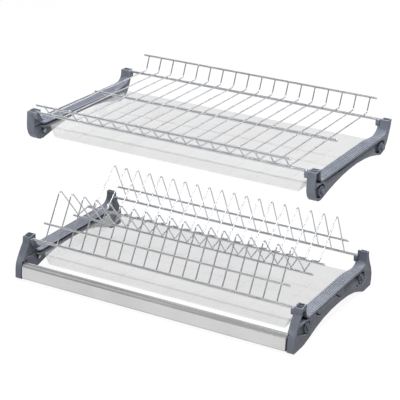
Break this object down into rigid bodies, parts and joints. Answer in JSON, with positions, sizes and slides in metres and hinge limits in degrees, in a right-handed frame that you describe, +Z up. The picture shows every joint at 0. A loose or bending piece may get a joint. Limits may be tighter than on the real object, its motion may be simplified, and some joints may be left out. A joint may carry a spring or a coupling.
{
  "type": "cabinet_dish_drainer",
  "caption": "Cabinet dish drainer: chrome wire glass rack above a plate rack, clear slide-out drip trays, grey plastic side brackets and an aluminium front profile.",
  "frame": {"origin": "middle of the overall width and depth, at the bottom of the lower brackets' feet", "axes": "+X to the right seen from the front, +Y to the back, +Z up"},
  "size_m": [0.4732, 0.3252, 0.2904],
  "materials": {
    "bracket_plastic": "fine-grained moulded plastic, matt",
    "dowel_plastic": "moulded nylon, matt",
    "plug_plastic": "moulded plastic, matt",
    "chrome_wire": "bright chrome plating",
    "clear_tray": "clear moulded plastic, glossy",
    "anodised_profile": "extruded and satin anodised",
    "zinc_screw": "zinc plated"
  },
  "bodies": {
    "side_frame": {"front_profile": "anodised_profile", "profile_end_plug_left": "plug_plastic", "profile_end_plug_right": "plug_plastic", "upper_bracket_left": "bracket_plastic", "upper_bracket_right": "bracket_plastic", "lower_bracket_left": "bracket_plastic", "lower_bracket_right": "bracket_plastic", "upper_dowel_left_front": "dowel_plastic", "upper_screw_left_front": "zinc_screw", "upper_dowel_left_rear": "dowel_plastic", "upper_screw_left_rear": "zinc_screw", "upper_dowel_right_front": "dowel_plastic", "upper_screw_right_front": "zinc_screw", "upper_dowel_right_rear": "dowel_plastic", "upper_screw_right_rear": "zinc_screw", "lower_dowel_left_front": "dowel_plastic", "lower_screw_left_front": "zinc_screw", "lower_dowel_left_rear": "dowel_plastic", "lower_screw_left_rear": "zinc_screw", "lower_dowel_right_front": "dowel_plastic", "lower_screw_right_front": "zinc_screw", "lower_dowel_right_rear": "dowel_plastic", "lower_screw_right_rear": "zinc_screw"},
    "glass_rack": {"upper_rod_front": "chrome_wire", "upper_rod_rear": "chrome_wire", "upper_fence_bar_front": "chrome_wire", "upper_fence_bar_rear": "chrome_wire", "upper_cross_wire_grid": "chrome_wire"},
    "plate_rack": {"lower_rod_front": "chrome_wire", "lower_rod_rear": "chrome_wire", "lower_fence_bar_front": "chrome_wire", "lower_fence_bar_rear": "chrome_wire", "lower_plate_bar_front": "chrome_wire", "lower_plate_bar_rear": "chrome_wire", "plate_wire_01": "chrome_wire", "plate_wire_02": "chrome_wire", "plate_wire_03": "chrome_wire", "plate_wire_04": "chrome_wire", "plate_wire_05": "chrome_wire", "plate_wire_06": "chrome_wire", "plate_wire_07": "chrome_wire", "plate_wire_08": "chrome_wire", "plate_wire_09": "chrome_wire", "plate_wire_10": "chrome_wire", "plate_wire_11": "chrome_wire", "plate_wire_12": "chrome_wire", "plate_wire_13": "chrome_wire", "plate_wire_14": "chrome_wire", "plate_wire_15": "chrome_wire", "plate_wire_16": "chrome_wire", "plate_wire_17": "chrome_wire", "plate_wire_18": "chrome_wire", "plate_wire_19": "chrome_wire"},
    "upper_tray": {"upper_drip_tray": "clear_tray"},
    "lower_tray": {"lower_drip_tray": "clear_tray"}
  },
  "joints": [
    {"name": "upper_rack_lift", "type": "slide", "parent": "side_frame", "child": "glass_rack", "axis": [0, 0, 1], "range_m": [0, 0.08]},
    {"name": "lower_rack_lift", "type": "slide", "parent": "side_frame", "child": "plate_rack", "axis": [0, 0, 1], "range_m": [0, 0.08]},
    {"name": "upper_tray_slide", "type": "slide", "parent": "side_frame", "child": "upper_tray", "axis": [0, -1, 0], "range_m": [0, 0.2]},
    {"name": "lower_tray_slide", "type": "slide", "parent": "side_frame", "child": "lower_tray", "axis": [0, -1, 0], "range_m": [-0.2, 0.028]}
  ]
}
